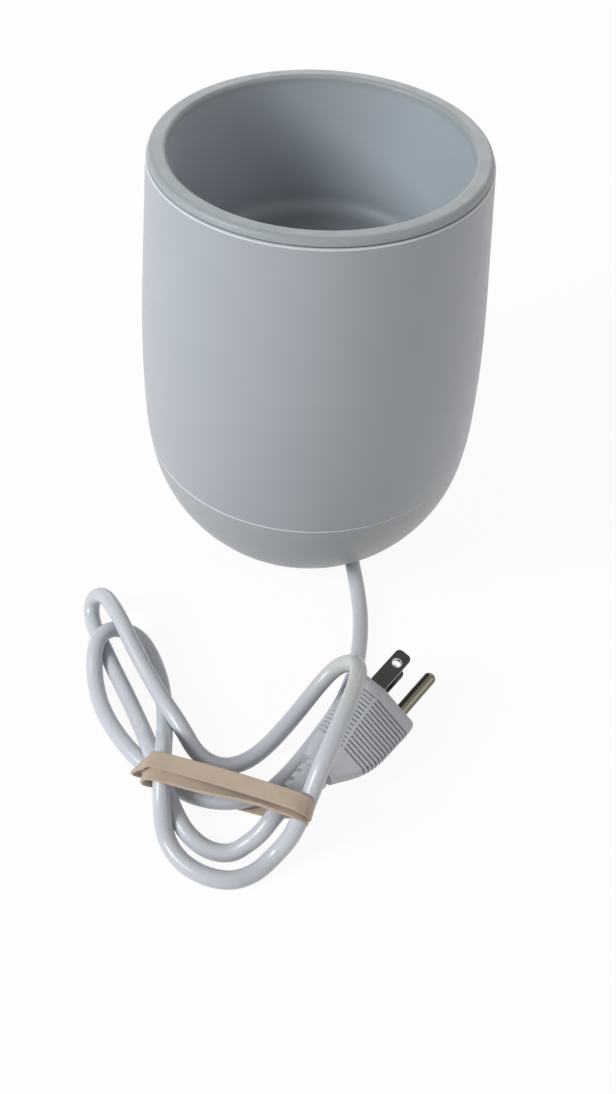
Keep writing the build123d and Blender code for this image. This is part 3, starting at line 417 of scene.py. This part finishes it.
LEAD_ROUTE = [
    along_channel(BUSH_END, BUSH_Z), along_channel(BUSH_END + 7, BUSH_Z),
    (21.8, -45.2, 7.3), (23.6, -54.2, 4.1), (24.5, -64.5, 3.2), (24.2, -76.0, 3.2), (23.0, -87.0, 3.2),
    (20.4, -98.0, 3.2), (16.4, -108.4, 3.2), (10.9, -118.1, 3.2), (5.6, -126.9, 3.2), (0.8, -134.6, 3.4),
    (-3.8, -141.2, 4.2),
]
FRONT_STRAND = [
    (-8.5, -146.5, 4.6), (-16.5, -149.3, 4.6), (-25.0, -150.3, 4.6), (-33.0, -149.0, 4.6),
    (-40.5, -145.8, 4.6), (-48.5, -140.5, 4.6), (-56.5, -133.5, 4.0),
]
OUTER_TURN = [
    (-64.0, -125.0, 3.3), (-71.5, -114.0, 3.2), (-76.2, -102.0, 3.2), (-77.8, -92.0, 7.4),
    (-77.0, -85.3, 9.8), (-73.2, -80.5, 9.6), (-67.3, -78.3, 6.4), (-60.8, -81.5, 4.5),
    (-55.6, -89.5, 3.2), (-51.5, -99.5, 3.2), (-49.2, -109.0, 3.2),
]
TOP_STRAND = [
    (-48.0, -117.0, 3.2), (-47.0, -124.5, 6.2), (-45.8, -133.0, 14.0), (-45.0, -141.5, 16.8),
    (-44.4, -149.5, 16.9), (-43.8, -157.5, 12.2), (-42.2, -165.0, 4.8), (-36.5, -172.5, 3.2),
    (-28.0, -177.5, 3.2), (-18.5, -179.0, 3.2), (-10.5, -175.5, 3.2), (-4.8, -170.0, 5.2),
]
LOOP_ROUTE = [
    (-0.2, -167.0, 10.8), (2.6, -164.2, 17.2), (6.0, -158.4, 24.0), (8.8, -151.6, 29.8),
    (12.2, -143.8, 33.2), (15.8, -134.2, 34.4), (19.4, -123.6, 34.4), (21.7, -114.0, 32.8),
    (21.5, -106.0, 28.8), (18.0, -101.0, 22.4), (13.0, -100.5, 16.4), (7.6, -105.0, 11.2),
    (2.2, -111.5, 7.4), (-4.0, -119.5, 5.0), (-11.0, -128.0, 3.3), (-18.0, -134.0, 3.2),
]
INNER_TURN = [
    (-26.0, -136.0, 3.2), (-34.5, -132.3, 4.6), (-41.4, -122.9, 9.7), (-48.3, -113.5, 10.4),
    (-54.8, -103.0, 10.2), (-61.8, -92.0, 12.2), (-68.0, -81.0, 14.8), (-73.5, -72.0, 14.8),
    (-77.8, -66.6, 13.6), (-82.4, -65.0, 9.0), (-83.0, -69.0, 4.0), (-80.4, -76.0, 3.2),
    (-76.0, -84.0, 3.2), (-71.0, -93.5, 3.2), (-65.0, -104.0, 3.2), (-59.0, -115.0, 3.2),
    (-54.2, -124.5, 4.3), (-51.4, -132.5, 9.2), (-47.4, -141.0, 11.1), (-43.6, -149.3, 10.0),
    (-39.9, -156.2, 6.8), (-35.0, -163.4, 5.2), (-27.8, -168.4, 3.6), (-19.5, -169.3, 3.2),
]
TAIL_ROUTE = [(-13.5, -166.4, 6.4), (-9.2, -164.4, 10.8), boot_middle(BOOT_END - 5), boot_middle(BOOT_END)]


def mains_cord():
    """The whole lead as one smooth curve, from the bush under the base to the plug's boot."""
    route = LEAD_ROUTE + FRONT_STRAND + OUTER_TURN + TOP_STRAND + LOOP_ROUTE + INNER_TURN + TAIL_ROUTE
    curve = bpy.data.curves.new("mains_cord", "CURVE")
    curve.dimensions = "3D"
    spline = curve.splines.new("NURBS")
    spline.points.add(len(route) - 1)
    for point, place in zip(spline.points, route):
        point.co = (*(MM * value for value in place), 1)
    spline.order_u = 3
    spline.use_endpoint_u = True
    spline.resolution_u = 8
    curve.bevel_depth = CORD_D / 2 * MM
    curve.bevel_resolution = 6
    curve.use_fill_caps = True
    cord = bpy.data.objects.new("mains_cord", curve)
    bpy.context.scene.collection.objects.link(cord)
    dress(cord, "cord")
    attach(cord, "base")
    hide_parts("cord_lead", "cord_hank", "cord_loop", "cord_tail")
    return cord


# ------------------------------------------------------------------ rubber band

# the strip's middle line and the way across it, once round the bundle for each turn
BAND_PATH = [
    ((-50.4, -143.9, 17.6), (0.30, 0.90, -0.15)), ((-47.6, -144.3, 20.4), (0.20, 0.97, 0.10)),
    ((-39.6, -146.6, 21.2), (0.28, 0.93, 0.20)), ((-26.2, -151.1, 23.2), (0.33, 0.90, 0.25)),
    ((-13.0, -156.0, 25.2), (0.36, 0.88, 0.28)), ((-3.0, -160.0, 27.0), (0.38, 0.88, 0.22)),
    ((3.0, -162.4, 27.6), (0.40, 0.85, 0.10)), ((6.3, -162.9, 25.0), (0.28, 0.80, 0.30)),
    ((6.8, -160.8, 18.8), (0.20, 0.80, 0.45)), ((3.8, -155.8, 12.0), (0.20, 0.80, 0.50)),
    ((-4.0, -152.0, 3.8), (0.25, 0.93, 0.20)), ((-13.0, -149.2, 0.9), (0.30, 0.95, 0.0)),
    ((-32.0, -144.0, 0.75), (0.30, 0.95, 0.0)), ((-45.5, -140.5, 0.8), (0.30, 0.95, 0.0)),
    ((-49.8, -141.6, 3.2), (0.20, 0.95, -0.15)), ((-51.2, -144.6, 9.5), (0.15, 0.93, -0.30)),
    ((-50.4, -147.0, 15.6), (0.15, 0.95, -0.15)), ((-47.4, -148.6, 19.3), (0.18, 0.96, 0.0)),
    ((-39.6, -150.8, 20.0), (0.24, 0.95, -0.05)), ((-29.4, -154.5, 21.2), (0.25, 0.92, -0.35)),
    ((-17.2, -158.2, 22.4), (0.25, 0.80, -0.75)), ((-9.0, -160.6, 23.2), (0.28, 0.80, -0.80)),
    ((-3.0, -162.2, 23.9), (0.30, 0.85, -0.40)), ((2.2, -163.5, 24.4), (0.35, 0.90, -0.05)),
    ((5.5, -163.4, 22.2), (0.35, 0.80, 0.20)), ((6.0, -161.4, 16.6), (0.25, 0.80, 0.40)),
    ((3.2, -155.0, 9.6), (0.20, 0.80, 0.45)), ((-3.4, -149.2, 3.0), (0.25, 0.93, 0.15)),
    ((-14.0, -146.4, 1.9), (0.30, 0.95, 0.0)), ((-32.0, -142.5, 1.9), (0.30, 0.95, 0.0)),
    ((-48.0, -137.5, 1.2), (0.50, 0.86, 0.0)), ((-54.7, -138.5, 4.4), (0.60, 0.78, 0.0)),
    ((-53.3, -141.5, 11.5), (0.45, 0.85, -0.20)),
]
BAND_STEPS = 8              # sections from one point of the path to the next


def between(before, start, end, after, t):
    """Point on the smooth curve through start and end."""
    return 0.5 * (2 * start + (end - before) * t + (2 * before - 5 * start + 4 * end - after) * t ** 2
                  + (3 * start - before - 3 * end + after) * t ** 3)


def strip_outline():
    """Section of the strip with rounded edges: distances across and through it."""
    wide, thick = BAND_W / 2 - BAND_EDGE, BAND_T / 2 - BAND_EDGE
    outline = []
    for side, face, start in ((1, 1, 0), (-1, 1, 90), (-1, -1, 180), (1, -1, 270)):
        for step in range(4):
            angle = math.radians(start + 30 * step)
            outline.append((side * wide + BAND_EDGE * math.cos(angle),
                            face * thick + BAND_EDGE * math.sin(angle)))
    return outline


def band_sections():
    """Rings of points along the strip."""
    middles = [Vector(middle) for middle, _ in BAND_PATH]
    across = [Vector(way).normalized() for _, way in BAND_PATH]
    count = len(BAND_PATH)
    line = []
    for index in range(count):
        near = [(index + offset) % count for offset in (-1, 0, 1, 2)]
        for step in range(BAND_STEPS):
            t = step / BAND_STEPS
            line.append((between(*(middles[k] for k in near), t), across[near[1]].lerp(across[near[2]], t)))
    rings = []
    for index, (middle, way) in enumerate(line):
        ahead = line[(index + 1) % len(line)][0] - line[index - 1][0]
        normal = ahead.cross(way).normalized()
        way = normal.cross(ahead).normalized()
        rings.append([MM * (middle + wide * way + thick * normal) for wide, thick in strip_outline()])
    return rings


def rubber_band():
    """One strip wound twice round the bundle and the loop beside the plug."""
    mesh = bmesh.new()
    rings = [[mesh.verts.new(point) for point in ring] for ring in band_sections()]
    size = len(rings[0])
    for index, ring in enumerate(rings):
        following = rings[(index + 1) % len(rings)]
        for k in range(size):
            mesh.faces.new((ring[k], ring[(k + 1) % size], following[(k + 1) % size], following[k]))
    bmesh.ops.recalc_face_normals(mesh, faces=mesh.faces)
    data = bpy.data.meshes.new("wound_band")
    mesh.to_mesh(data)
    mesh.free()
    data.shade_smooth()
    band = bpy.data.objects.new("wound_band", data)
    bpy.context.scene.collection.objects.link(band)
    band.modifiers.new("even_normals", "WEIGHTED_NORMAL")
    dress(band, "band")
    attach(band, "base")
    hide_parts("rubber_band")


# ------------------------------------------------------------------ dial

def dial_frame(height):
    """Matrix with its Z out of the dial and its Y up, at a height above the dial plate."""
    turn = Matrix(((-1, 0, 0), (0, 0, 1), (0, 1, 0))).transposed().to_4x4()
    return Matrix.Translation(MM * Vector((0, DIAL_FACE_Y + height, DIAL_Z))) @ turn


def stroke(mesh, place, low, high, wide, thick):
    """Raised bar along Y, from low to high and standing on the plane."""
    outline = ((-wide / 2, low), (wide / 2, low), (wide / 2, high), (-wide / 2, high))
    verts = [mesh.verts.new(place @ (MM * Vector((x, y, z)))) for z in (0, thick) for x, y in outline]
    for ring in ((3, 2, 1, 0), (4, 5, 6, 7), (0, 1, 5, 4), (1, 2, 6, 5), (2, 3, 7, 6), (3, 0, 4, 7)):
        mesh.faces.new([verts[k] for k in ring])


def figure(mesh, place, text, size, thick):
    """Numeral in the plain built-in face."""
    curve = bpy.data.curves.new("figure", "FONT")
    curve.body = text
    curve.size = MM * size
    curve.extrude = MM * thick / 2
    curve.align_x = curve.align_y = "CENTER"
    letter = bpy.data.objects.new("figure", curve)
    data = bpy.data.meshes.new_from_object(letter)
    data.transform(place)
    mesh.from_mesh(data)
    bpy.data.objects.remove(letter)
    bpy.data.meshes.remove(data)


def printed(name, mesh, finish, body):
    """Object made of the mesh, riding on a body."""
    data = bpy.data.meshes.new(name)
    mesh.to_mesh(data)
    mesh.free()
    piece = bpy.data.objects.new(name, data)
    bpy.context.scene.collection.objects.link(piece)
    dress(piece, finish)
    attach(piece, body)


def dial_marks():
    """Scale round the knob, figures 0 to 9 with a line at each and between them, and the knob's pointer."""
    scale = bmesh.new()
    for step in range(2 * FIGURES - 1):
        angle = step * FIGURE_STEP / 2
        whole = step % 2 == 0
        place = dial_frame(0) @ Matrix.Rotation(angle, 4, "Z")
        stroke(scale, place, MARK_START, MARK_END if whole else HALF_MARK_END, MARK_W, INK_T)
        if whole:
            middle = Vector((-FIGURE_R * math.sin(angle), FIGURE_R * math.cos(angle), INK_T / 2))
            figure(scale, dial_frame(0) @ Matrix.Translation(MM * middle), str(step // 2), FIGURE_SIZE, INK_T)
    printed("dial_figures", scale, "ink", "base")
    pointer = bmesh.new()
    stroke(pointer, dial_frame(POINTER_OUT), POINTER_START, POINTER_END, POINTER_W, POINTER_T)
    printed("pointer_line", pointer, "pointer", "knob")


# ------------------------------------------------------------------ studio

def any_ray(tree, *kinds):
    """1 for a ray of any of these kinds, else 0."""
    path = tree.nodes.new("ShaderNodeLightPath")
    seen = path.outputs[kinds[0]]
    for kind in kinds[1:]:
        either = tree.nodes.new("ShaderNodeMath")
        either.operation = "MAXIMUM"
        tree.links.new(seen, either.inputs[0])
        tree.links.new(path.outputs[kind], either.inputs[1])
        seen = either.outputs[0]
    return seen


def floor():
    """White floor that keeps the object's shadow."""
    mesh = bpy.data.meshes.new("floor")
    corners = [(x * FLOOR_HALF, y * FLOOR_HALF, 0) for x, y in ((-1, -1), (1, -1), (1, 1), (-1, 1))]
    mesh.from_pydata(corners, [], [(0, 1, 2, 3)])
    plane = bpy.data.objects.new("floor", mesh)
    bpy.context.scene.collection.objects.link(plane)
    shader = Shader("floor_white")
    shader.set(Base_Color=(0.90, 0.90, 0.90, 1), Roughness=0.9)
    white = shader.add("ShaderNodeEmission")
    white.inputs["Strength"].default_value = 1.0
    seen = any_ray(shader.tree, "Is Camera Ray", "Is Glossy Ray", "Is Transmission Ray")
    part = shader.ramp(seen, 0, 1, 0.0, FLOOR_SHARE)
    mix = shader.add("ShaderNodeMixShader")
    shader.link(part, mix.inputs["Fac"])
    shader.link(shader.surface.outputs["BSDF"], mix.inputs[1])
    shader.link(white.outputs["Emission"], mix.inputs[2])
    output = shader.tree.nodes["Material Output"]
    shader.link(mix.outputs["Shader"], output.inputs["Surface"])
    mesh.materials.append(shader.material)


def sky():
    """Even soft light; what the camera, metal and glass see of it is white."""
    world = bpy.data.worlds.new("studio")
    bpy.context.scene.world = world
    world.use_nodes = True
    tree = world.node_tree
    tree.nodes["Background"].inputs["Color"].default_value = SKY_COLOUR
    tree.nodes["Background"].inputs["Strength"].default_value = SKY_STRENGTH
    white = tree.nodes.new("ShaderNodeBackground")
    white.inputs["Color"].default_value = (1, 1, 1, 1)
    white.inputs["Strength"].default_value = 1.0
    mix = tree.nodes.new("ShaderNodeMixShader")
    seen = any_ray(tree, "Is Camera Ray", "Is Glossy Ray", "Is Transmission Ray")
    tree.links.new(seen, mix.inputs["Fac"])
    tree.links.new(tree.nodes["Background"].outputs[0], mix.inputs[1])
    tree.links.new(white.outputs[0], mix.inputs[2])
    tree.links.new(mix.outputs[0], tree.nodes["World Output"].inputs["Surface"])


def lamp(name, place, target, size, power, colour=(1, 1, 1)):
    """Soft box that faces a point."""
    data = bpy.data.lights.new(name, "AREA")
    data.shape = "RECTANGLE"
    data.size, data.size_y = size
    data.energy = power
    data.color = colour
    light = bpy.data.objects.new(name, data)
    light.location = place
    light.rotation_mode = "QUATERNION"
    light.rotation_quaternion = (Vector(target) - Vector(place)).to_track_quat("-Z", "Y")
    bpy.context.scene.collection.objects.link(light)


def camera():
    forward = Vector((0, math.cos(CAMERA_DOWN), -math.sin(CAMERA_DOWN)))
    upward = Vector((0, math.sin(CAMERA_DOWN), math.cos(CAMERA_DOWN)))
    turn = Matrix.Rotation(CAMERA_TURN, 3, "Z")
    right, upward, forward = turn @ Vector((1, 0, 0)), turn @ upward, turn @ forward
    rolled_right = math.cos(CAMERA_ROLL) * right + math.sin(CAMERA_ROLL) * upward
    rolled_up = -math.sin(CAMERA_ROLL) * right + math.cos(CAMERA_ROLL) * upward
    data = bpy.data.cameras.new("camera")
    data.sensor_fit = "AUTO"
    data.sensor_width = CAMERA_SENSOR
    data.lens = CAMERA_LENS
    data.clip_start, data.clip_end = CAMERA_REACH
    eye = bpy.data.objects.new("camera", data)
    facing = Matrix((rolled_right, rolled_up, -forward)).transposed().to_4x4()
    eye.matrix_world = Matrix.Translation(CAMERA_AT) @ facing
    bpy.context.scene.collection.objects.link(eye)
    bpy.context.scene.camera = eye


def studio():
    floor()
    sky()
    lamp("key", (-0.95, -0.5, 0.75), BODY_MIDDLE, (0.5, 0.5), 13.5, (0.92, 0.965, 1.0))
    lamp("fill", (0.95, -0.4, 0.55), BODY_MIDDLE, (0.8, 0.8), 2.4)
    lamp("rear", (0.1, 1.1, 0.65), CUP_MIDDLE, (1.2, 0.5), 5)
    camera()
    bpy.context.scene.view_settings.view_transform = "Standard"


dress_nodes()
mains_cord()
rubber_band()
dial_marks()
studio()
